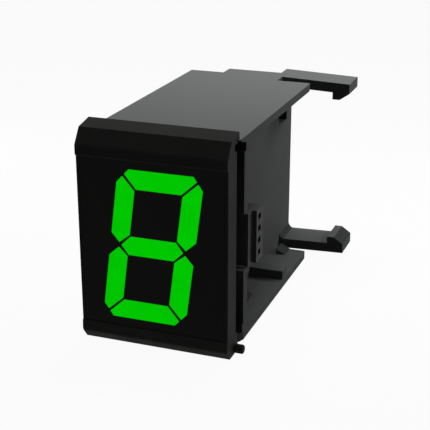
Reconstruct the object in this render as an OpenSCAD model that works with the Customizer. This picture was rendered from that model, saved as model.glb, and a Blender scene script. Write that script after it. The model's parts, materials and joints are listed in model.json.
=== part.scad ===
// Seven segment display unit for side-by-side coupling in a panel.
// Millimetres. X to the right, Y to the rear, Z up. Y = 0 is the panel plane, the front faces -Y.

/* [Front frame] */
// width of the frame, also the pitch of coupled units
frame_w = 40; // [36:0.5:50]
// height of the frame
frame_h = 58; // [50:0.5:68]
// depth from the panel plane to the window face
frame_d = 7.9; // [7.5:0.1:9]
// thickness of the frame's cheeks
cheek_t = 1.8; // [1.4:0.1:2]
// height of the visor above the window
visor_h = 7.8; // [7:0.1:9]
// height of the lip below the window
lip_h = 5.6; // [5:0.1:6.5]
// how far the visor stands out past the window
visor_out = 0.5; // [0.2:0.1:1.2]

/* [Digit] */
// window left free above and below the digit
digit_rim = 2.3; // [2:0.1:5]
// frame left free on each side of the upright digit
digit_side = 8.7; // [8.5:0.1:10.5]
// width of a segment
stroke = 4.95; // [4:0.05:5.4]
// slant of the digit in degrees
slant = 7.6; // [0:0.2:9]
// gap between neighbouring segments
seg_gap = 0.76; // [0.5:0.02:1]

/* [Window and light] */
// thickness of the window
window_t = 1.5; // [1.2:0.1:2]
// height of the reflector block from window to board
reflector_t = 6.8; // [6.5:0.1:7.5]
// thickness of the circuit boards
board_t = 1.6; // [1:0.1:2]

/* [Case] */
// wall and plate thickness
wall_t = 2.2; // [1.8:0.1:2.6]
// depth of the right-hand plates behind the panel plane
case_d = 60.5; // [56:0.5:72]
// inset of the case from the frame's left side
inset_l = 2.2; // [1.8:0.1:2.6]
// overhang of the case past the frame's right side
over_r = 0.75; // [0.4:0.05:1]
// overlap of the frame below the case
rim_bottom = 1.95; // [1.6:0.05:2.2]
// overlap of the frame above the case
rim_top = 1.65; // [1.6:0.05:2.2]
// width of the side channel
channel_w = 10.05; // [9:0.05:10.5]
// thickness of the front flange
flange_t = 3; // [2.4:0.1:3.6]

/* [Snap arms] */
// width of an arm
arm_w = 10.4; // [9:0.1:12]
// thickness of an arm
arm_t = 2.9; // [2.4:0.1:3.2]
// slot between the plate and the arm
arm_gap = 5.5; // [4.5:0.1:7]
// height of the hook at the tip
hook_h = 2.1; // [1.4:0.1:2.3]
// inward lean of the arm at its tip
arm_lean = 0.8; // [0.3:0.1:1.2]
// width of the catch that a neighbour's hook grips
catch_w = 3.7; // [3:0.1:4.5]

/* [Side connector] */
// pitch of the four ways
pitch = 3.25; // [2.9:0.05:3.3]
// free length of the plug pins outside the case
pin_free = 5.2; // [4:0.1:5.6]
// side of a square plug pin
pin_s = 0.8; // [0.6:0.05:0.9]

/* [Locating pin] */
// diameter of the pin on the right cheek
loc_d = 2.4; // [1.8:0.1:2.6]
// free length of the pin
loc_l = 2.6; // [2:0.1:3]

/* [Hidden] */
$fn = 48;
eps = 0.01;
cut = 1;
// clearances
fit = 0.1;
loc_clear = 0.1;
seg_fit = 0.06;
win_fit = 0.05;
pin_fit = 0.02;
tail_fit = 0.05;
hole_fit = 0.15;
hook_clear = 0.12;
room = 0.3;
half_room = 0.2;

// frame
fx = frame_w / 2;
win_z0 = lip_h;
win_z1 = frame_h - visor_h;
win_in = 0.9;
ledge_t = 1.2;
ledge_w = 0.8;
ledge_y = -frame_d + window_t;
cav_y = ledge_y + ledge_t;
seat_y = -1.3;
foot_y = -0.3;
cheek_y = -1.8;
cheek_z0 = 5.2;
cheek_top = 2.5;
cheek_head = 1.5;
cheek_notch = 1.8;
cheek_x = fx - cheek_t;
rail_t = 4.4;
top_run = 2.25;
top_drop = 1.05;
nose_r = 1.3;
nose_z = 5.4;
bevel = 37;
lip_out = 0.42;
lip_r = 2;
lip_nose_z = 3.5;
lip_ledge = 0.3;
foot_run = 1.8;
loc_y = -2.8;
loc_z = 1.75;
loc_root = 1;
loc_tip = 0.3;

// case
case_l = -fx + inset_l;
case_r = fx + over_r;
case_z0 = rim_bottom;
case_z1 = frame_h - rim_top;
in_z0 = case_z0 + wall_t;
in_z1 = case_z1 - wall_t;
wall_x = case_r - channel_w;
in_l = case_l + wall_t;
in_r = wall_x - wall_t;
plate_y = half_room;
plate_lead = 1.8;
plate_r = 0.8;
wall_end = 1;
flange_y = ledge_y + reflector_t + board_t;
flange_y1 = flange_y + flange_t;
flange_in = 5.8;
flange_lx = case_l + flange_in;
foot_step = 0.6;
head_step = 0.9;
flange_foot = 2.2;
flange_head = 1.65;
head_y = flange_y + head_step;
ear_y = -1.7;
ear_lead = 0.7;
ear_tip = 0.4;
ear_root = 1.6;
tongue_in = 8;
tongue_x = fx - tongue_in;
edge_in = 0.1;
rear_run = 4.7;
rear_y = case_d + rear_run;
arm_y0 = case_d + arm_gap;
arm_y1 = arm_y0 + arm_w;
tab_run = 4.6;
tab_y = arm_y0 + tab_run;
catch_x = case_l + catch_w;
tab_gap = 6.5;
tab_x0 = catch_x + tab_gap;
rear_z0 = case_z0 + arm_t + arm_lean + fit;
rear_z1 = case_z1 - arm_t - arm_lean - fit;
hook_x = catch_x + frame_w + hook_clear;
hook_flat = 2.15;
hook_l = 4.95;
arm_root = 1.8;
arm_x0 = wall_x - arm_root;
arm_tip = hook_x + hook_l;
arm_fillet = 2;
catch_front = 0.4;
ramp_h = 1.5;
ramp_run = 2.85;
ramp_w = 5.3;
ramp_in = 2.3;
ramp_front = 14.5;
ramp_rear = 5.1;
stop_h = 2.5;
stop_l = 4.5;
stop_rear = 23.1;
stop_edge = 0.25;
stop_y = case_d - stop_rear;
sight_w = 8.2;
sight_y = case_d + 2.5;
sight_h = 8;
sight_top = 6.4;

// frame tongues
tongue_w = 6;
tongue_t = 1.6;
tongue_hook = 0.8;
tongue_nose = 0.5;
tongue_end = 1.5;
tongue_bottom = 12;
tongue_top = 13;
tongue_zs = [tongue_bottom, frame_h - tongue_top];
tongue_root = 0.4;
tongue_y0 = cav_y - tongue_root;
tongue_y1 = flange_y1 + fit + tongue_end;
in_tongue = case_l + half_room;

// digit and reflector
digit_w = frame_w - 2 * digit_side;
digit_h = win_z1 - win_z0 - 2 * digit_rim;
digit_up = 0.1;
hw = digit_w / 2;
hh = digit_h / 2;
digit_z = (win_z0 + win_z1) / 2 + digit_up;
pipe_in = 1;
refl_side = 4.8;
refl_x = fx - refl_side;
refl_z0 = win_z0 + ledge_w + half_room;
refl_z1 = win_z1 - ledge_w - half_room;
refl_y0 = ledge_y;
refl_y1 = ledge_y + reflector_t;
well_in = 0.35;
peg_d = 2;
peg_in = 1.6;
peg_x = refl_x - peg_in;
peg_up = 1.8;
peg_zs = [refl_z0 + peg_up, refl_z1 - peg_up];
board_x = refl_x + half_room;
board_over = 1;
foot_x = board_x + 2 * half_room;
board_z0 = refl_z0 - board_over;
board_z1 = refl_z1 + board_over;
led_w = 2;
led_h = 0.8;
led_d = 1.25;
led_end = 4.65;

// side connector
conn_up = 0.25;
conn_end = 2.25;
conn_z = digit_z + conn_up;
conn_z0 = conn_z - 1.5 * pitch - conn_end;
conn_z1 = conn_z + 1.5 * pitch + conn_end;
conn_room = 0.1;
notch_z0 = conn_z0 - conn_room;
notch_z1 = conn_z1 + conn_room;
notch_r = 1.2;
base_d = 3;
base_y = flange_y1;
sock_y = base_y + base_d;
sock_d = 5.2;
sock_in = 1.5;
sock_out = 1.25;
sock_x0 = wall_x + sock_in;
sock_x = case_r + sock_out;
way_in = 2.4;
way_y = sock_y + way_in;
way_w = 2;
way_h = 1.5;
way_l = 7;
leaf_t = 0.3;
leaf_w = 1;
leaf_in = 2.4;
leaf_y = way_y - pin_s / 2 - leaf_t;
tail_d = 0.7;
tail_in = 6.4;
tail_x = sock_x - tail_in;
tail_out = 0.8;
head_in = 0.4;
head_l = 5.4;
head_x0 = case_l + head_in;
head_x1 = head_x0 + head_l;
head_tail = 2.2;
head_tail_x = head_x1 - head_tail;
pin_root = 0.4;

// control board
ctrl_y = sock_y + sock_d;
ctrl_y1 = ctrl_y + board_t;
ctrl_room = 0.4;
ctrl_x0 = flange_lx + ctrl_room;
ctrl_x1 = in_r - room;
ctrl_z0 = in_z0 + ctrl_room;
ctrl_z1 = in_z1 - ctrl_room;
ctrl_x = (ctrl_x0 + ctrl_x1) / 2;
ctrl_tab_l = in_l + 2 * room;
ctrl_edge = 1.2;
ctrl_tab_r = case_r - ctrl_edge;
ctrl_tab_in = 0.8;
rib_h = 2.2;
rib_l = 2;
rib_in = 1;

// parts between and on the boards
link_n = 5;
link_pitch = 2.54;
link_d = 0.7;
link_edge = 4.2;
link_z0 = board_z0 + link_edge;
link_z1 = board_z1 - link_edge;
spacer_t = 2.5;
spacer_w = 2.5;
chip_w = 10;
chip_t = 1.6;
chip_h = 4;
chip_up = 2;
chip_z = digit_z + chip_up;
chip_lift = 0.1;
lead_n = 8;
lead_pitch = 1.27;
lead_w = 0.4;
lead_t = 0.2;
lead_out = 1.2;
lead_foot = 0.7;
lead_y = 0.7;
lead_bend = 0.35;
res_w = 1.25;
res_t = 0.5;
res_h = 2;
res_n = 7;
res_edge = 2.4;
res_up = 9;
res_z = chip_z + res_up;
res_pitch = (ctrl_x1 - ctrl_x0 - 2 * res_edge) / (res_n - 1);
cap_d = 6.3;
cap_l = 8;
cap_edge = 0.6;
cap_down = 12;
cap_x = ctrl_x1 - cap_d / 2 - cap_edge;
cap_z = chip_z - cap_down;

black = [0.09, 0.09, 0.09];
dark = [0.06, 0.06, 0.055];
lit = [0, 0.78, 0];
white = [0.92, 0.92, 0.9];
mask = [0.05, 0.3, 0.14];
metal = [0.78, 0.74, 0.6];

// box between two corners
module box(a, b) {
    translate(a)
        cube(b - a);
}

// plane outline in Y and Z, drawn out along X
module along_x(x0, x1) {
    translate([x0, 0, 0])
        rotate([90, 0, 90])
            linear_extrude(x1 - x0)
                children();
}

// plane outline in X and Z, drawn out along Y
module along_y(y0, y1) {
    translate([0, y1, 0])
        rotate([90, 0, 0])
            linear_extrude(y1 - y0)
                children();
}

// round rod along Y
module rod(x, z, d, y0, y1) {
    translate([x, y1, z])
        rotate([90, 0, 0])
            cylinder(h = y1 - y0, d = d);
}

// mirror in the middle height of the case
module both_heights() {
    children();
    translate([0, 0, case_z0 + case_z1])
        mirror([0, 0, 1])
            children();
}

// points on an arc about c, angles in degrees
function arc(c, r, a0, a1, n = 6) =
    [for (i = [0 : n]) let (a = a0 + (a1 - a0) * i / n) [c[0] + r * cos(a), c[1] + r * sin(a)]];

// what rounding takes from an outline whose corner lies at the origin
module corner(r) {
    difference() {
        translate([-eps, -eps])
            square(r + eps);
        translate([r, r])
            circle(r = r);
    }
}

// digit

// outline of the segment at the top of the digit
function seg_top() = [
    [-(hw - 0.57 * stroke), hh],
    [hw - 0.57 * stroke, hh],
    cut_at(0.445 - seg_gap / 9),
    [hw - stroke - 0.56 * seg_gap, hh - stroke],
    [-(hw - stroke - 0.56 * seg_gap), hh - stroke],
    flip_x(cut_at(0.445 - seg_gap / 9))
];

// outline of the upper right segment
function seg_side() = [
    [hw, hh - 0.7 * stroke],
    [hw, 0.62 * stroke],
    [hw - 0.48 * stroke, 0.88 * seg_gap],
    [hw - stroke, stroke / 2 + 0.6 * seg_gap],
    [hw - stroke, hh - stroke - 0.67 * seg_gap],
    cut_at(0.445 + seg_gap / 9)
];

// outline of the middle segment
function seg_mid() = [
    [-(hw - 0.61 * stroke), 0],
    [-(hw - stroke - 0.4 * seg_gap), stroke / 2],
    [hw - stroke - 0.4 * seg_gap, stroke / 2],
    [hw - 0.61 * stroke, 0],
    [hw - stroke - 0.4 * seg_gap, -stroke / 2],
    [-(hw - stroke - 0.4 * seg_gap), -stroke / 2]
];

// point on the cut corner of the digit, t from 0 at the top to 1 at the side
function cut_at(t) = [hw - 0.57 * stroke * (1 - t), hh - 0.7 * stroke * t];
function flip_x(p) = [-p[0], p[1]];
function turned(ps, x, z) = [for (p = ps) [p[0] * x, p[1] * z]];

// upright outline of one of the seven segments
function upright(s) =
    s == "a" ? seg_top() :
    s == "b" ? seg_side() :
    s == "c" ? turned(seg_side(), 1, -1) :
    s == "d" ? turned(seg_top(), 1, -1) :
    s == "e" ? turned(seg_side(), -1, -1) :
    s == "f" ? turned(seg_side(), -1, 1) : seg_mid();

// slanted outline in its place on the front
function outline(s) = [for (p = upright(s)) [p[0] + p[1] * tan(slant), p[1] + digit_z]];

function mean(ps, k, i = 0, sum = 0) = i == len(ps) ? sum / len(ps) : mean(ps, k, i + 1, sum + ps[i][k]);
function middle(ps) = [mean(ps, 0), mean(ps, 1)];
function size_of(ps, k) = max([for (p = ps) p[k]]) - min([for (p = ps) p[k]]);

// outline grown or shrunk by d on each side, from its middle
function grown(ps, d) =
    let (m = middle(ps), sx = 1 + 2 * d / size_of(ps, 0), sz = 1 + 2 * d / size_of(ps, 1))
    [for (p = ps) [m[0] + (p[0] - m[0]) * sx, m[1] + (p[1] - m[1]) * sz]];

// the two places of the light-emitting chips of a segment
function led_places(s) =
    let (ps = outline(s), m = middle(ps), level = s == "a" || s == "d" || s == "g",
         q = size_of(ps, level ? 0 : 1) / 2 - led_end)
    level ? [[m[0] - q, m[1]], [m[0] + q, m[1]]]
          : [[m[0] - q * tan(slant), m[1] - q], [m[0] + q * tan(slant), m[1] + q]];

segs = ["a", "b", "c", "d", "e", "f", "g"];

// front frame

// side outline with the rounded visor above the window and the lip below it
frame_side = concat(
    [[0, 0], [0, frame_h], [top_run - frame_d, frame_h - top_drop]],
    arc([nose_r - frame_d - visor_out, frame_h - nose_z], nose_r, 180 - bevel, 180),
    arc([-frame_d, win_z1 + visor_out], visor_out, 180, 270),
    [[-frame_d, win_z0], [-frame_d - lip_ledge, win_z0]],
    arc([lip_r - frame_d - lip_out, lip_nose_z], lip_r, 180, 180 + bevel),
    [[foot_run - frame_d, 0]]
);

// tongue that snaps behind the case's flange, hook towards -X, and its root on the cheek
module frame_tongue(x, root, z) {
    translate([0, 0, z - tongue_w / 2])
        linear_extrude(tongue_w)
            polygon([
                [x, tongue_y0],
                [root, tongue_y0],
                [root, cheek_y],
                [x + tongue_t, cheek_y],
                [x + tongue_t, tongue_y1],
                [x + room, tongue_y1],
                [x - tongue_hook, flange_y1 + fit + tongue_nose],
                [x - tongue_hook, flange_y1 + fit],
                [x, flange_y1 + fit]
            ]);
}

module front_frame() {
    color(black)
    difference() {
        union() {
            difference() {
                along_x(-fx, fx)
                    polygon(frame_side);
                // rebate of the window
                box([-fx + win_in, -frame_d - 2 * cut, win_z0], [fx - win_in, ledge_y, win_z1]);
                // opening behind the window
                box([-cheek_x + ledge_w / 2, ledge_y - eps, win_z0 + ledge_w],
                    [cheek_x - ledge_w / 2, cav_y + eps, win_z1 - ledge_w]);
                // hollow behind
                box([-cheek_x, cav_y, rail_t], [cheek_x, cut, in_z1 - half_room]);
                // seat on the plates of the case
                box([-cheek_x, seat_y, case_z0 - fit], [cheek_x, cut, case_z1 + fit]);
                box([-fx - cut, foot_y, case_z0 - fit], [fx + cut, cut, case_z1 + fit]);
                // cheeks end before the panel plane, the right one further in at its head
                box([-fx - cut, cheek_y, cheek_z0], [fx + cut, cut, frame_h - cheek_top]);
                box([cheek_x - eps, cheek_y - cheek_head, frame_h - cheek_top - cheek_notch],
                    [fx + cut, cut, frame_h - cheek_top]);
            }
            for (z = tongue_zs) {
                frame_tongue(cheek_x - tongue_t, cheek_x + room, z);
                mirror([1, 0, 0])
                    frame_tongue(-in_tongue - tongue_t, cheek_x + room, z);
            }
            // locating pin
            translate([fx - loc_root, loc_y, loc_z])
                rotate([0, 90, 0])
                    cylinder(h = loc_root + loc_l - loc_tip, d = loc_d);
            translate([fx + loc_l - loc_tip, loc_y, loc_z])
                rotate([0, 90, 0])
                    cylinder(h = loc_tip, d1 = loc_d, d2 = loc_d - 2 * loc_tip);
        }
        // locating hole
        translate([-fx - cut, loc_y, loc_z])
            rotate([0, 90, 0])
                cylinder(h = cut + loc_l + 2 * room, d = loc_d + 2 * loc_clear);
    }
}

module front_window() {
    color(dark)
    difference() {
        box([-fx + win_in + win_fit, -frame_d, win_z0 + win_fit],
            [fx - win_in - win_fit, ledge_y, win_z1 - win_fit]);
        for (s = segs)
            along_y(-frame_d - cut, ledge_y + cut)
                polygon(grown(outline(s), seg_fit));
    }
}

// light pipe of one segment
module segment(s) {
    color(lit)
    along_y(-frame_d, ledge_y + pipe_in)
        polygon(outline(s));
}

module segment_a() { segment("a"); }
module segment_b() { segment("b"); }
module segment_c() { segment("c"); }
module segment_d() { segment("d"); }
module segment_e() { segment("e"); }
module segment_f() { segment("f"); }
module segment_g() { segment("g"); }

module reflector() {
    color(white) {
        difference() {
            box([-refl_x, refl_y0, refl_z0], [refl_x, refl_y1, refl_z1]);
            for (s = segs) {
                along_y(refl_y0 - cut, refl_y0 + pipe_in)
                    polygon(grown(outline(s), seg_fit));
                along_y(refl_y0, refl_y1 + cut)
                    polygon(grown(outline(s), -well_in));
            }
        }
        for (x = [-peg_x, peg_x], z = peg_zs)
            rod(x, z, peg_d, refl_y1 - cut, flange_y - half_room);
    }
}

// the two rows of pins between the boards, or their holes
module links(d, y0, y1) {
    for (z = [link_z0, link_z1], i = [0 : link_n - 1])
        rod(ctrl_x + (i - (link_n - 1) / 2) * link_pitch, z, d, y0, y1);
}

module display_board() {
    color(mask)
    difference() {
        box([-board_x, refl_y1, board_z0], [board_x, flange_y, board_z1]);
        for (x = [-peg_x, peg_x], z = peg_zs)
            rod(x, z, peg_d + 2 * fit, refl_y1 - cut, flange_y + cut);
        links(link_d + 2 * hole_fit, refl_y1 - cut, flange_y + cut);
    }
}

module segment_leds() {
    color(lit)
    for (s = segs, p = led_places(s))
        box([p[0] - led_w / 2, refl_y1 - led_h, p[1] - led_d / 2],
            [p[0] + led_w / 2, refl_y1, p[1] + led_d / 2]);
}

// case

// side outline of the closed body, t inside its faces: full height up to the step, then lower to the rear
function body_side(y, step, t) = [
    [y, case_z0 + t],
    [step - t, case_z0 + t],
    [step - t, rear_z0 + t],
    [arm_y1 - t, rear_z0 + t],
    [arm_y1 - t, rear_z1 - t],
    [step - t, rear_z1 - t],
    [step - t, case_z1 - t],
    [y, case_z1 - t]
];

// closed body as a shell, open at the front
module body() {
    difference() {
        union() {
            along_x(case_l, wall_x)
                polygon(body_side(flange_y, rear_y, 0));
            along_x(tab_x0, wall_x)
                polygon(body_side(flange_y, tab_y, 0));
            // wall of the channel runs on to the rear of the arms
            box([in_r, flange_y, case_z0 + wall_end], [wall_x, arm_y1, case_z1 - wall_end]);
        }
        along_x(in_l, in_r)
            polygon(body_side(flange_y - cut, rear_y, wall_t));
        along_x(tab_x0 + wall_t, in_r)
            polygon(body_side(flange_y - cut, tab_y, wall_t));
    }
}

// outline of a plate seen from above: a tongue under the frame's rail at the front, and at the front right
// the run of points that leads from the frame's cheek to the right side
module plate_outline(front_right) {
    difference() {
        polygon(concat(
            [
                [case_l, plate_y],
                [-tongue_x, plate_y],
                [-tongue_x, seat_y + half_room],
                [tongue_x, seat_y + half_room],
                [tongue_x, plate_y],
                [fx, plate_y]
            ],
            front_right,
            [[case_r, case_d], [case_l, case_d]]
        ));
        translate([case_r, case_d])
            rotate(180)
                corner(plate_r);
    }
}

// bottom plate, its front right corner drawn in to the cheek
module bottom_plate() {
    translate([0, 0, case_z0])
        linear_extrude(wall_t)
            plate_outline([[case_r, plate_y + plate_lead]]);
}

// top plate, its right edge carried on beside the cheek
module top_plate() {
    translate([0, 0, in_z1])
        linear_extrude(wall_t)
            plate_outline([[fx + fit, plate_y], [fx + fit, ear_y], [case_r, ear_y + ear_lead]]);
}

// what is taken from the front right under the top plate: the flange's head is stepped back and the plate
// thins out towards the front
module head_rebate() {
    along_x(foot_x, case_r + cut)
        polygon([
            [ear_y - cut, in_z1 - flange_head],
            [head_y, in_z1 - flange_head],
            [head_y, case_z1 - ear_root],
            [ear_y, case_z1 - ear_tip],
            [ear_y - cut, case_z1 - ear_tip]
        ]);
}

// outline of the front flange: the boards' opening, the slots of the frame's tongues and the socket's notch
module flange_outline() {
    difference() {
        union() {
            translate([case_l, case_z0 + eps])
                square([case_r - edge_in - case_l, case_z1 - case_z0 - 2 * eps]);
            translate([wall_x, in_z1 - flange_head])
                square([case_r - wall_x, flange_head + eps]);
        }
        translate([flange_lx, in_z0])
            square([in_r - flange_lx, in_z1 - in_z0]);
        for (z = tongue_zs) {
            translate([cheek_x - tongue_t - tongue_hook - fit, z - tongue_w / 2 - room])
                square([tongue_t + tongue_hook + fit + room, tongue_w + 2 * room]);
            translate([case_l - cut, z - tongue_w / 2 - room])
                square([cut + half_room + tongue_t + tongue_hook + fit, tongue_w + 2 * room]);
        }
        translate([case_l - cut, notch_z0])
            square([case_r + 2 * cut - case_l, notch_z1 - notch_z0]);
        translate([case_r - edge_in, notch_z1])
            rotate(90)
                corner(notch_r);
    }
}

// front flange, its foot stepped forward on the right
module flange() {
    along_y(flange_y, flange_y1)
        flange_outline();
    box([foot_x, flange_y - foot_step, in_z0 - eps],
        [case_r - edge_in, flange_y + eps, in_z0 + flange_foot]);
}

// snap arm at the top rear: leaning bar with a hook, and the rounded corner to the wall
module snap_arm() {
    lean_hook = arm_lean * (hook_x - arm_x0) / (arm_tip - arm_x0);
    along_y(arm_y0, arm_y1) {
        polygon([
            [arm_x0, case_z1],
            [arm_tip, case_z1 - arm_lean],
            [arm_tip, case_z1 - arm_lean - arm_t],
            [hook_x + hook_flat, case_z1 - lean_hook - arm_t - hook_h],
            [hook_x, case_z1 - lean_hook - arm_t - hook_h],
            [hook_x, case_z1 - lean_hook - arm_t],
            [arm_x0, case_z1 - arm_t]
        ]);
        translate([wall_x, case_z1 - arm_t])
            rotate(-90)
                corner(arm_fillet);
    }
}

// ramp on the bottom plate of the channel, falling towards the right
module ramp(y) {
    along_y(y, y + ramp_w)
        polygon([
            [wall_x + ramp_in, in_z0 - half_room],
            [wall_x + ramp_in + ramp_run, in_z0 - half_room],
            [wall_x + ramp_in + ramp_run, in_z0],
            [wall_x + ramp_in, in_z0 + ramp_h]
        ]);
}

module case() {
    color(black)
    difference() {
        union() {
            body();
            flange();
            bottom_plate();
            top_plate();
            both_heights() {
                snap_arm();
                // rib behind the control board
                box([ctrl_x0 + rib_in, ctrl_y1, in_z0 - eps],
                    [ctrl_x1 - rib_in, ctrl_y1 + rib_l, in_z0 + rib_h]);
            }
            ramp(flange_y1 + ramp_front);
            ramp(case_d - ramp_rear);
            // stop across the bottom plate of the channel
            box([wall_x - eps, stop_y, in_z0 - eps], [case_r - stop_edge, stop_y + stop_l, in_z0 + stop_h]);
        }
        head_rebate();
        // slot of the control board and the connectors in both walls
        box([case_l - cut, flange_y - cut, notch_z0], [wall_x + cut, ctrl_y1 + ctrl_room, notch_z1]);
        // windows that the frame's tongues snap into
        for (z = tongue_zs)
            box([case_l - cut, flange_y - cut, z - tongue_w / 2 - room],
                [in_l + eps, tongue_y1 + 2 * room, z + tongue_w / 2 + room]);
        // window in the wall at the rear
        box([in_r - eps, sight_y, case_z1 - sight_top - sight_h],
            [wall_x + cut, sight_y + sight_w, case_z1 - sight_top]);
        // places that a neighbour's hooks drop into
        both_heights()
            box([catch_x, arm_y0 - catch_front, rear_z0 - cut],
                [catch_x + hook_l + 2 * room, arm_y1 + cut, rear_z0 + wall_t + half_room]);
    }
}

// control board and connectors

// height of one of the four ways
function way_z(i) = conn_z + (i - 1.5) * pitch;

module control_board() {
    color(mask)
    difference() {
        union() {
            box([ctrl_x0, ctrl_y, ctrl_z0], [ctrl_x1, ctrl_y1, ctrl_z1]);
            box([ctrl_tab_l, ctrl_y, conn_z0 + ctrl_tab_in], [ctrl_tab_r, ctrl_y1, conn_z1 - ctrl_tab_in]);
        }
        links(link_d + 2 * hole_fit, ctrl_y - cut, ctrl_y1 + cut);
        for (i = [0 : 3], x = [tail_x, head_tail_x])
            rod(x, way_z(i), tail_d + 2 * hole_fit, ctrl_y - cut, ctrl_y1 + cut);
    }
}

module side_socket() {
    color(black)
    difference() {
        // stepped body, lower where it reaches under the frame's cheek
        translate([0, 0, conn_z0])
            linear_extrude(conn_z1 - conn_z0)
                polygon([
                    [sock_x0, base_y],
                    [case_r, base_y],
                    [case_r, sock_y],
                    [sock_x, sock_y],
                    [sock_x, ctrl_y],
                    [sock_x0, ctrl_y]
                ]);
        for (i = [0 : 3]) {
            box([sock_x - way_l, way_y - way_w / 2, way_z(i) - way_h / 2],
                [sock_x + cut, way_y + way_w / 2, way_z(i) + way_h / 2]);
            rod(tail_x, way_z(i), tail_d + 2 * tail_fit, way_y, ctrl_y + cut);
        }
    }
}

module socket_contacts() {
    color(metal)
    for (i = [0 : 3]) {
        box([sock_x - way_l, leaf_y, way_z(i) - leaf_w / 2],
            [sock_x - leaf_in, leaf_y + leaf_t, way_z(i) + leaf_w / 2]);
        rod(tail_x, way_z(i), tail_d, leaf_y + leaf_t / 2, ctrl_y1 + tail_out);
    }
}

module side_header() {
    color(black)
    difference() {
        box([head_x0, sock_y, conn_z0], [head_x1, ctrl_y, conn_z1]);
        for (i = [0 : 3]) {
            box([head_x0 - cut, way_y - pin_s / 2 - pin_fit, way_z(i) - pin_s / 2 - pin_fit],
                [head_tail_x + pin_root + tail_fit, way_y + pin_s / 2 + pin_fit,
                 way_z(i) + pin_s / 2 + pin_fit]);
            rod(head_tail_x, way_z(i), tail_d + 2 * tail_fit, way_y, ctrl_y + cut);
        }
    }
}

module header_pins() {
    color(metal)
    for (i = [0 : 3]) {
        box([case_l - pin_free, way_y - pin_s / 2, way_z(i) - pin_s / 2],
            [head_tail_x + pin_root, way_y + pin_s / 2, way_z(i) + pin_s / 2]);
        rod(head_tail_x, way_z(i), tail_d, way_y, ctrl_y1 + tail_out);
    }
}

module link_spacers() {
    spacer_l = link_n * link_pitch;
    color(black)
    difference() {
        for (z = [link_z0, link_z1])
            box([ctrl_x - spacer_l / 2, flange_y, z - spacer_w / 2],
                [ctrl_x + spacer_l / 2, flange_y + spacer_t, z + spacer_w / 2]);
        links(link_d + 2 * pin_fit, flange_y - cut, flange_y + spacer_t + cut);
    }
}

module link_pins() {
    color(metal)
    links(link_d, refl_y1 + half_room, ctrl_y1 + tail_out);
}

module driver_chip() {
    color(dark)
    box([ctrl_x - chip_w / 2, ctrl_y1 + chip_lift, chip_z - chip_h / 2],
        [ctrl_x + chip_w / 2, ctrl_y1 + chip_t, chip_z + chip_h / 2]);
}

// side outline of a bent lead, from its foot on the board up to the chip
lead_side = [
    [0, lead_out - lead_foot],
    [0, lead_out],
    [lead_t, lead_out],
    [lead_t, lead_out - lead_foot + lead_t],
    [lead_y + lead_t, lead_out - lead_foot],
    [lead_y + lead_t, 0],
    [lead_y, 0],
    [lead_y, lead_bend]
];

module driver_leads() {
    color(metal)
    for (side = [0, 1], i = [0 : lead_n - 1])
        translate([ctrl_x + (i - (lead_n - 1) / 2) * lead_pitch, ctrl_y1, chip_z])
            mirror([0, 0, side])
                translate([0, 0, chip_h / 2])
                    along_x(-lead_w / 2, lead_w / 2)
                        polygon(lead_side);
}

module resistors() {
    color(dark)
    for (i = [0 : res_n - 1])
        translate([ctrl_x + (i - (res_n - 1) / 2) * res_pitch, ctrl_y1, res_z])
            box([-res_w / 2, 0, -res_h / 2], [res_w / 2, res_t, res_h / 2]);
}

module filter_capacitor() {
    color(dark)
    rod(cap_x, cap_z, cap_d, ctrl_y1, ctrl_y1 + cap_l);
}

case();
front_frame();
front_window();
segment_a();
segment_b();
segment_c();
segment_d();
segment_e();
segment_f();
segment_g();
reflector();
display_board();
segment_leds();
control_board();
side_socket();
socket_contacts();
side_header();
header_pins();
link_spacers();
link_pins();
driver_chip();
driver_leads();
resistors();
filter_capacitor();
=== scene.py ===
"""Looks of a seven segment display unit: edges, finishes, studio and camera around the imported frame."""

import json
import math

import bpy
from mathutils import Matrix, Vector


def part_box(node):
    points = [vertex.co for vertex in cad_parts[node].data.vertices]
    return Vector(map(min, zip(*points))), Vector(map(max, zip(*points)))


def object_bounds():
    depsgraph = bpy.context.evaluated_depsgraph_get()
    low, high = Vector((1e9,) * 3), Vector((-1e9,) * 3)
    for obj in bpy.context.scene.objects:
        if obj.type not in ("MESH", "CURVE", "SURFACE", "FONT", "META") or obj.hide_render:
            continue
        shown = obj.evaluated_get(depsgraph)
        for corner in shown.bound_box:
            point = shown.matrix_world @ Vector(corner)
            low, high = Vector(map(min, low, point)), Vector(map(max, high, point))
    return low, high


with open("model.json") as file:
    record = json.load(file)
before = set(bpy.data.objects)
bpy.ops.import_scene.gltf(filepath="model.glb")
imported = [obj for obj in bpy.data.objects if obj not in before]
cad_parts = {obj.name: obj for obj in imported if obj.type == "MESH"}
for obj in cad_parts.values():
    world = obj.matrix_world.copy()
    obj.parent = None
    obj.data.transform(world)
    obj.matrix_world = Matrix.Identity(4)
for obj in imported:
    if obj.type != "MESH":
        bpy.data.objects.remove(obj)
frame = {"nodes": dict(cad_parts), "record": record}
cad_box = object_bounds()

# lengths are in metres, as in the scene
MM = 0.001

# camera of the photograph: angles in degrees, focal length in pixels of the square image, sensor in mm
CAMERA_AT = (0.09966, -0.23287, 0.12809)
CAMERA_AZIMUTH = 20.253
CAMERA_ELEVATION = 20.354
CAMERA_NEAR = 0.01
FOCAL_PX = 1070.8
IMAGE_PX = 430
SENSOR = 36.0

# widths of the rounded edges by material slot
EDGES = {
    "frame_plastic": 0.08 * MM,
    "window_plastic": 0.04 * MM,
    "segment_light": 0.04 * MM,
    "connector_plastic": 0.12 * MM,
    "contact_metal": 0.06 * MM,
    "chip_resin": 0.12 * MM,
}
EDGE_ANGLE = math.radians(30)
EDGE_SEGMENTS = 2
# the case's edges are rounded in its shading alone, because its arms' roots run out in thin wedges that
# leave a bevel no room
CASE_EDGE = 0.2 * MM
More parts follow.
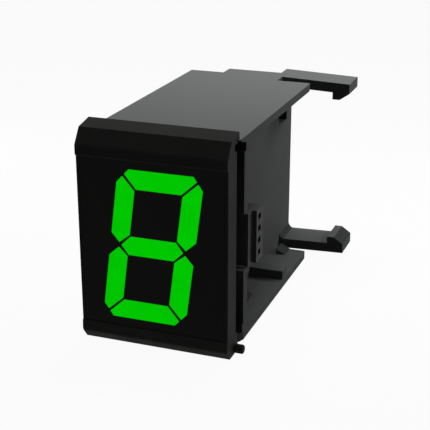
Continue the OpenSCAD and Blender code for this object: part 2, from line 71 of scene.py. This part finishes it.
# slots whose flat triangles are joined before rounding, because slivers among them would hold it back
JOINED = ("frame_plastic",)
WELD = 0.02 * MM
FLAT = math.radians(0.5)

# colours, linear
# the case is black plastic; its colour is lightened to a grey that stands in for its sheen: painted sheen
CASE_BLACK_AND_SHEEN = (0.144, 0.149, 0.147)
FRAME_BLACK = (0.0158, 0.0155, 0.0148)
WINDOW_BLACK = (0.0042, 0.0039, 0.0032)
PIPE_GREEN = (0.0, 0.03, 0.0)
GLOW_WEAK = (0.0, 0.555, 0.0)
GLOW_STRONG = (0.0, 0.6, 0.0)
REFLECTOR_WHITE = (0.8, 0.8, 0.77)
MASK_GREEN = (0.008, 0.075, 0.024)
TRACK_GREEN = (0.014, 0.12, 0.035)
RESIN_GREEN = (0.45, 0.7, 0.35)
CONNECTOR_GREY = (0.1, 0.1, 0.1)
CONTACT_YELLOW = (0.72, 0.6, 0.35)
CHIP_BLACK = (0.015, 0.015, 0.015)
LEAD_GREY = (0.7, 0.7, 0.7)
RESISTOR_BLACK = (0.03, 0.03, 0.035)
SLEEVE_BLUE = (0.018, 0.022, 0.05)
BAND_GREY = (0.4, 0.4, 0.42)

# brightness of the lit segments
GLOW = 0.97

# moulded plastics: size of the clouds, width, spots and tone of the rubbed edges
CLOUD = 9 * MM
RUBBED_WIDTH = 0.35 * MM
RUBBED_SPOTS = 1.5 * MM
RUBBED_TONE = 1.5

# painted shade: slopes that look up and to the right, on the ramps, the arms' roots and the hooks over
# which a neighbour can slide, are painted darker; the edges of the plates, between these two places of
# X, are not
PLATE_EDGE = (17 * MM, 23 * MM)
SLOPE_SHADE_TONE = 0.42

# tracks on the boards are the joints of a brick pattern: its scale, and their width in it
TRACK_SCALE = 130
TRACK_WIDTH = 0.06

# streaks of drawn metal run along X
DRAWN = (0.1, 1, 1)

# band on the capacitor's sleeve: its width, and half the width of its soft edge
BAND_WIDTH = 1.2 * MM
BAND_BLUR = 0.1 * MM

# noise: roughness, usual detail, and the values between which most of it lies
NOISE_ROUGHNESS = 0.55
NOISE_DETAIL = 3.0
NOISE_FROM, NOISE_TO = 0.3, 0.7

# cosine between a face and its rounded normal, at an edge and on the flat
AT_EDGE, ON_FLAT = 0.75, 0.99
# product of a normal's X and Z, on a plain face and on a slope
ON_PLAIN, ON_SLOPE = 0.15, 0.35
BEVEL_SAMPLES = 4

# sockets of a Mix node that mixes colours
MIX_FACTOR, MIX_A, MIX_B, MIX_RESULT = 0, 6, 7, 2

# strength at which what is seen directly is white
WHITE = 1.0
# floor: half its side, its place under the part, the share of its look that takes light and shadow, and
# the greys of that share and of the light that it sends back
FLOOR_HALF = 2.0
FLOOR_DROP = 0.05 * MM
FLOOR_SHADOW = 0.05
FLOOR_GREY = 0.9
FLOOR_RETURN = 0.05
# even fill light of the world
FILL = 0.012

# lamps: side, places from what they are aimed at, and levels
LAMP_SIZE = 0.08
TOP_LAMP, TOP_LEVEL = Vector((0.0, 0.01, 0.152)), 1.05
RIGHT_LAMP, RIGHT_LEVEL = Vector((0.165, 0.115, 0.095)), 0.228
LEFT_LAMP, LEFT_LEVEL = Vector((-0.2, 0.08, 0.03)), 0.22
REAR_LAMP, REAR_LEVEL = Vector((0.03, 0.2, 0.16)), 0.09


class Finish:
    """A procedural material in object space: a Principled shader and short helpers around it."""

    def __init__(self, name, colour, roughness, specular, metallic=0.0):
        self.material = bpy.data.materials.new(name)
        self.material.use_nodes = True
        self.nodes = self.material.node_tree.nodes
        self.links = self.material.node_tree.links
        self.shader = self.nodes["Principled BSDF"]
        self.colour = colour
        self.shader.inputs["Base Color"].default_value = (*colour, 1)
        self.shader.inputs["Roughness"].default_value = roughness
        self.shader.inputs["Specular IOR Level"].default_value = specular
        self.shader.inputs["Metallic"].default_value = metallic
        self.place = self.nodes.new("ShaderNodeTexCoord").outputs["Object"]

    def link(self, output, socket):
        self.links.new(output, socket)

    def geometry(self, output):
        return self.nodes.new("ShaderNodeNewGeometry").outputs[output]

    def parts(self, vector):
        """The coordinates of a vector, by name."""
        node = self.nodes.new("ShaderNodeSeparateXYZ")
        self.link(vector, node.inputs["Vector"])
        return node.outputs

    def noise(self, size, detail=NOISE_DETAIL, stretch=(1, 1, 1)):
        """Noise with spots of about the given size, from 0 to 1."""
        mapping = self.nodes.new("ShaderNodeMapping")
        mapping.inputs["Scale"].default_value = stretch
        self.link(self.place, mapping.inputs["Vector"])
        node = self.nodes.new("ShaderNodeTexNoise")
        node.inputs["Scale"].default_value = 1 / size
        node.inputs["Detail"].default_value = detail
        node.inputs["Roughness"].default_value = NOISE_ROUGHNESS
        self.link(mapping.outputs["Vector"], node.inputs["Vector"])
        return node.outputs["Fac"]

    def spread(self, value, low, high, start=NOISE_FROM, end=NOISE_TO):
        """Value between start and end, moved to low and high."""
        node = self.nodes.new("ShaderNodeMapRange")
        node.inputs["From Min"].default_value = start
        node.inputs["From Max"].default_value = end
        node.inputs["To Min"].default_value = low
        node.inputs["To Max"].default_value = high
        self.link(value, node.inputs["Value"])
        return node.outputs["Result"]

    def clouds(self, size, detail=NOISE_DETAIL):
        """Noise drawn out until it reaches 0 and 1."""
        return self.spread(self.noise(size, detail), 0, 1)

    def between(self, value, low, high):
        """Value between 0 and 1, moved to low and high."""
        return self.spread(value, low, high, 0, 1)

    def maths(self, operation, a, b):
        node = self.nodes.new("ShaderNodeMath")
        node.operation = operation
        for value, socket in ((a, node.inputs[0]), (b, node.inputs[1])):
            if isinstance(value, (int, float)):
                socket.default_value = value
            else:
                self.link(value, socket)
        return node.outputs["Value"]

    def mix(self, factor, a, b):
        """Colour a where the factor is 0, colour b where it is 1."""
        node = self.nodes.new("ShaderNodeMix")
        node.data_type = "RGBA"
        self.link(factor, node.inputs[MIX_FACTOR])
        for value, socket in ((a, node.inputs[MIX_A]), (b, node.inputs[MIX_B])):
            if isinstance(value, tuple):
                socket.default_value = (*value, 1)
            else:
                self.link(value, socket)
        return node.outputs[MIX_RESULT]

    def toned(self, tone):
        """The finish's own colour times the tone."""
        return tuple(c * tone for c in self.colour)

    def shades(self, factor, dark, light):
        """The finish's own colour, from dark times it to light times it."""
        return self.mix(factor, self.toned(dark), self.toned(light))

    def bevelled(self, radius):
        """Normals as if the edges were rounded."""
        node = self.nodes.new("ShaderNodeBevel")
        node.samples = BEVEL_SAMPLES
        node.inputs["Radius"].default_value = radius
        return node.outputs["Normal"]

    def edges(self, radius):
        """1 along sharp edges, 0 on flat faces."""
        node = self.nodes.new("ShaderNodeVectorMath")
        node.operation = "DOT_PRODUCT"
        self.link(self.bevelled(radius), node.inputs[0])
        self.link(self.geometry("Normal"), node.inputs[1])
        return self.spread(node.outputs["Value"], 1, 0, AT_EDGE, ON_FLAT)

    def slope_shade_mask(self, apart):
        """Mask of painted shade: 1 on slopes that look up and to the right, 0 elsewhere and between the
        two places of X.
        """
        facing = self.parts(self.geometry("True Normal"))
        slope = self.maths("MULTIPLY", facing["X"], self.maths("MAXIMUM", facing["Z"], 0))
        x = self.parts(self.place)["X"]
        left = self.maths("LESS_THAN", x, apart[0])
        right = self.maths("GREATER_THAN", x, apart[1])
        painted_slope_shade = self.spread(slope, 0, 1, ON_PLAIN, ON_SLOPE)
        return self.maths("MULTIPLY", painted_slope_shade, self.maths("ADD", left, right))

    def bump(self, height, distance, strength, under=None):
        """Normals of a relief, on top of the normals under it."""
        node = self.nodes.new("ShaderNodeBump")
        node.inputs["Distance"].default_value = distance
        node.inputs["Strength"].default_value = strength
        self.link(height, node.inputs["Height"])
        if under:
            self.link(under, node.inputs["Normal"])
        return node.outputs["Normal"]

    def base(self, colour):
        self.link(colour, self.shader.inputs["Base Color"])

    def rough(self, value):
        self.link(value, self.shader.inputs["Roughness"])

    def normal(self, value):
        self.link(value, self.shader.inputs["Normal"])


def moulded(name, colour, roughness, specular, grain, depth, painted_slope_shade=False, rounded=None):
    """Moulded plastic: cloudy tone, fine spark-eroded grain, and edges rubbed a little lighter.

    painted_slope_shade paints shade on the slopes that look up and to the right; rounded is the radius of
    edges that are rounded in the shading.
    """
    f = Finish(name, colour, roughness, specular)
    cloud = f.clouds(CLOUD, detail=4)
    tone = f.shades(cloud, dark=0.975, light=1.025)
    rubbed = f.maths("MULTIPLY", f.edges(RUBBED_WIDTH), f.spread(f.noise(RUBBED_SPOTS), 0.1, 0.7))
    tone = f.mix(rubbed, tone, f.toned(RUBBED_TONE))
    if painted_slope_shade:
        # painted shade: slopes that look up and to the right are darkened in colour
        tone = f.mix(f.slope_shade_mask(PLATE_EDGE), tone, f.toned(SLOPE_SHADE_TONE))
    f.base(tone)
    fine = f.noise(grain, detail=2)
    f.rough(f.maths("ADD", f.spread(fine, -0.05, 0.05),
                    f.between(cloud, roughness - 0.03, roughness + 0.04)))
    under = f.bevelled(rounded) if rounded else None
    waves = f.bump(cloud, distance=0.02 * MM, strength=0.25, under=under)
    f.normal(f.bump(fine, depth, strength=0.6, under=waves))
    return f.material


def dark_window():
    """Smooth dark filter with faint haze."""
    f = Finish("window_plastic", WINDOW_BLACK, roughness=0.28, specular=0.052)
    haze = f.clouds(14 * MM, detail=5)
    f.base(f.shades(haze, dark=0.85, light=1.2))
    f.rough(f.between(haze, 0.24, 0.33))
    f.normal(f.bump(f.noise(3 * MM), distance=0.004 * MM, strength=0.3))
    return f.material


def lit_segment():
    """Lit light pipe with a slightly uneven glow."""
    f = Finish("segment_light", PIPE_GREEN, roughness=0.35, specular=0.005)
    glow = f.clouds(5 * MM, detail=2)
    f.link(f.mix(glow, GLOW_WEAK, GLOW_STRONG), f.shader.inputs["Emission Color"])
    f.shader.inputs["Emission Strength"].default_value = GLOW
    f.rough(f.between(glow, 0.32, 0.4))
    f.normal(f.bump(f.noise(0.4 * MM), distance=0.005 * MM, strength=0.3))
    return f.material


def white_moulding():
    f = Finish("reflector_white", REFLECTOR_WHITE, roughness=0.55, specular=0.3)
    cloud = f.clouds(4 * MM)
    f.base(f.shades(cloud, dark=0.96, light=1.04))
    f.rough(f.between(cloud, 0.5, 0.6))
    f.normal(f.bump(f.noise(0.2 * MM), distance=0.01 * MM, strength=0.4))
    return f.material


def solder_mask():
    """Green mask over glass cloth, with tracks that show through as paler lanes."""
    f = Finish("board_mask", MASK_GREEN, roughness=0.32, specular=0.4)
    brick = f.nodes.new("ShaderNodeTexBrick")
    brick.inputs["Scale"].default_value = TRACK_SCALE
    brick.inputs["Mortar Size"].default_value = TRACK_WIDTH
    upright = f.nodes.new("ShaderNodeMapping")
    upright.inputs["Rotation"].default_value = (math.radians(90), 0, 0)
    f.link(f.place, upright.inputs["Vector"])
    f.link(upright.outputs["Vector"], brick.inputs["Vector"])
    tracks = brick.outputs["Fac"]
    weave = f.noise(0.5 * MM, detail=1)
    f.base(f.mix(tracks, f.shades(weave, dark=0.85, light=1.1), TRACK_GREEN))
    f.rough(f.spread(weave, 0.28, 0.4))
    cloth = f.bump(weave, distance=0.01 * MM, strength=0.3)
    f.normal(f.bump(tracks, distance=0.03 * MM, strength=0.6, under=cloth))
    return f.material


def clear_resin():
    f = Finish("led_resin", RESIN_GREEN, roughness=0.25, specular=0.5)
    cloud = f.clouds(0.6 * MM)
    f.base(f.shades(cloud, dark=0.9, light=1.1))
    f.rough(f.between(cloud, 0.2, 0.32))
    return f.material


def metal(name, colour, roughness):
    """Plated metal with drawn streaks and a light tarnish."""
    f = Finish(name, colour, roughness, specular=0.5, metallic=1.0)
    streak = f.noise(0.15 * MM, stretch=DRAWN)
    tarnish = f.clouds(1.2 * MM)
    f.base(f.shades(tarnish, dark=0.85, light=1.05))
    f.rough(f.maths("ADD", f.spread(streak, -0.06, 0.06),
                    f.between(tarnish, roughness + 0.06, roughness - 0.04)))
    f.normal(f.bump(streak, distance=0.004 * MM, strength=0.4))
    return f.material


def sleeve():
    """Shrunk sleeve with a pale band down one side."""
    f = Finish("capacitor_sleeve", SLEEVE_BLUE, roughness=0.3, specular=0.5)
    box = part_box("filter_capacitor")
    edge = box[1].x - BAND_WIDTH
    band = f.spread(f.parts(f.place)["X"], 0, 1, edge - BAND_BLUR, edge + BAND_BLUR)
    f.base(f.mix(band, f.shades(f.noise(1 * MM), dark=0.9, light=1.1), BAND_GREY))
    f.normal(f.bump(f.noise(2 * MM), distance=0.02 * MM, strength=0.3))
    return f.material


FINISHES = {
    # the case gets painted shade on its slopes that look up and to the right
    "case_plastic": moulded("case_plastic", CASE_BLACK_AND_SHEEN, roughness=0.62, specular=0.02,
                            grain=0.22 * MM, depth=0.012 * MM, painted_slope_shade=True, rounded=CASE_EDGE),
    "frame_plastic": moulded("frame_plastic", FRAME_BLACK, roughness=0.75, specular=0.112,
                             grain=0.15 * MM, depth=0.006 * MM),
    "window_plastic": dark_window(),
    "segment_light": lit_segment(),
    "reflector_white": white_moulding(),
    "board_mask": solder_mask(),
    "led_resin": clear_resin(),
    "connector_plastic": moulded("connector_plastic", CONNECTOR_GREY, roughness=0.6, specular=0.08,
                                 grain=0.12 * MM, depth=0.005 * MM),
    "contact_metal": metal("contact_metal", CONTACT_YELLOW, roughness=0.28),
    "chip_resin": moulded("chip_resin", CHIP_BLACK, roughness=0.6, specular=0.2,
                          grain=0.08 * MM, depth=0.006 * MM),
    "lead_metal": metal("lead_metal", LEAD_GREY, roughness=0.3),
    "resistor_ceramic": moulded("resistor_ceramic", RESISTOR_BLACK, roughness=0.4, specular=0.4,
                                grain=0.1 * MM, depth=0.004 * MM),
    "capacitor_sleeve": sleeve(),
}


def round_edges(piece, width, joined):
    """Rounds the sharp edges of a solid, as a mould does, without touching its own mesh."""
    weld = piece.modifiers.new("weld", "WELD")
    weld.merge_threshold = WELD
    if joined:
        flat = piece.modifiers.new("flat", "DECIMATE")
        flat.decimate_type = "DISSOLVE"
        flat.angle_limit = FLAT
    bevel = piece.modifiers.new("edges", "BEVEL")
    bevel.width = width
    bevel.segments = EDGE_SEGMENTS
    bevel.limit_method = "ANGLE"
    bevel.angle_limit = EDGE_ANGLE
    bevel.use_clamp_overlap = True
    bevel.harden_normals = True


for part in frame["record"]["subparts"]:
    piece = frame["nodes"][part["node"]]
    slot = part["material_slot"]
    piece.data.materials.clear()
    piece.data.materials.append(FINISHES[slot])
    if slot in EDGES:
        round_edges(piece, EDGES[slot], slot in JOINED)


def added(name, data):
    """A new object of the scene."""
    obj = bpy.data.objects.new(name, data)
    bpy.context.collection.objects.link(obj)
    return obj


def seen_directly(tree):
    """1 for what the camera, a reflection or clear matter sees, 0 for light on its way."""
    path = tree.nodes.new("ShaderNodeLightPath")
    total = path.outputs["Is Camera Ray"]
    for name in ("Is Glossy Ray", "Is Transmission Ray"):
        node = tree.nodes.new("ShaderNodeMath")
        node.operation = "MAXIMUM"
        tree.links.new(total, node.inputs[0])
        tree.links.new(path.outputs[name], node.inputs[1])
        total = node.outputs["Value"]
    return total


def matt(tree, grey):
    """Matt shader of a grey."""
    node = tree.nodes.new("ShaderNodeBsdfDiffuse")
    node.inputs["Color"].default_value = (grey, grey, grey, 1)
    return node.outputs["BSDF"]


def mixed(tree, first, second):
    """Mix of two shaders: the first where its factor is 0, the second where it is 1."""
    node = tree.nodes.new("ShaderNodeMixShader")
    tree.links.new(first, node.inputs[1])
    tree.links.new(second, node.inputs[2])
    return node


def floor_finish():
    """What is seen is white with the object's shadow in it, what it sends back as light is grey."""
    material = bpy.data.materials.new("floor")
    material.use_nodes = True
    tree = material.node_tree
    tree.nodes.remove(tree.nodes["Principled BSDF"])
    glow = tree.nodes.new("ShaderNodeEmission")
    glow.inputs["Strength"].default_value = WHITE
    seen = mixed(tree, matt(tree, FLOOR_GREY), glow.outputs["Emission"])
    seen.inputs["Fac"].default_value = 1 - FLOOR_SHADOW
    either = mixed(tree, matt(tree, FLOOR_RETURN), seen.outputs["Shader"])
    tree.links.new(seen_directly(tree), either.inputs["Fac"])
    tree.links.new(either.outputs["Shader"], tree.nodes["Material Output"].inputs["Surface"])
    return material


low = cad_box[0].z - FLOOR_DROP
corners = [(x * FLOOR_HALF, y * FLOOR_HALF, low) for x, y in ((-1, -1), (1, -1), (1, 1), (-1, 1))]
floor_mesh = bpy.data.meshes.new("floor")
floor_mesh.from_pydata(corners, [], [(0, 1, 2, 3)])
floor_mesh.materials.append(floor_finish())
floor = added("floor", floor_mesh)

# world: white where it is seen, a weak even fill as light
world = bpy.data.worlds.new("studio")
bpy.context.scene.world = world
world.use_nodes = True
tree = world.node_tree
background = tree.nodes["Background"]
background.inputs["Color"].default_value = (1, 1, 1, 1)
strength = tree.nodes.new("ShaderNodeMapRange")
strength.inputs["To Min"].default_value = FILL
strength.inputs["To Max"].default_value = WHITE
tree.links.new(seen_directly(tree), strength.inputs["Value"])
tree.links.new(strength.outputs["Result"], background.inputs["Strength"])


def softbox(name, at, towards, level):
    """Soft square lamp; level 1 lights a face square to it as its colour is written."""
    lamp = bpy.data.lights.new(name, "AREA")
    lamp.shape = "SQUARE"
    lamp.size = LAMP_SIZE
    way = at - towards
    lamp.energy = level * math.pi ** 2 * way.length_squared
    obj = added(name, lamp)
    obj.location = at
    obj.rotation_euler = way.to_track_quat("Z", "Y").to_euler()
    obj.visible_camera = False
    obj.visible_glossy = False


# a lamp over the rear of the top, and weaker ones for the channel, the left side and the channel's floor
middle = (cad_box[0] + cad_box[1]) / 2
top_rear = Vector((middle.x, cad_box[1].y, cad_box[1].z))
softbox("top", top_rear + TOP_LAMP, top_rear, TOP_LEVEL)
softbox("right", middle + RIGHT_LAMP, middle, RIGHT_LEVEL)
softbox("left", middle + LEFT_LAMP, middle, LEFT_LEVEL)
softbox("rear", middle + REAR_LAMP, middle, REAR_LEVEL)

camera_data = bpy.data.cameras.new("camera")
camera_data.sensor_width = SENSOR
camera_data.lens = SENSOR * FOCAL_PX / IMAGE_PX
camera_data.clip_start = CAMERA_NEAR
camera = added("camera", camera_data)
camera.location = CAMERA_AT
camera.rotation_euler = (math.radians(90 - CAMERA_ELEVATION), 0, math.radians(CAMERA_AZIMUTH))
bpy.context.scene.camera = camera

bpy.context.scene.view_settings.view_transform = "Standard"
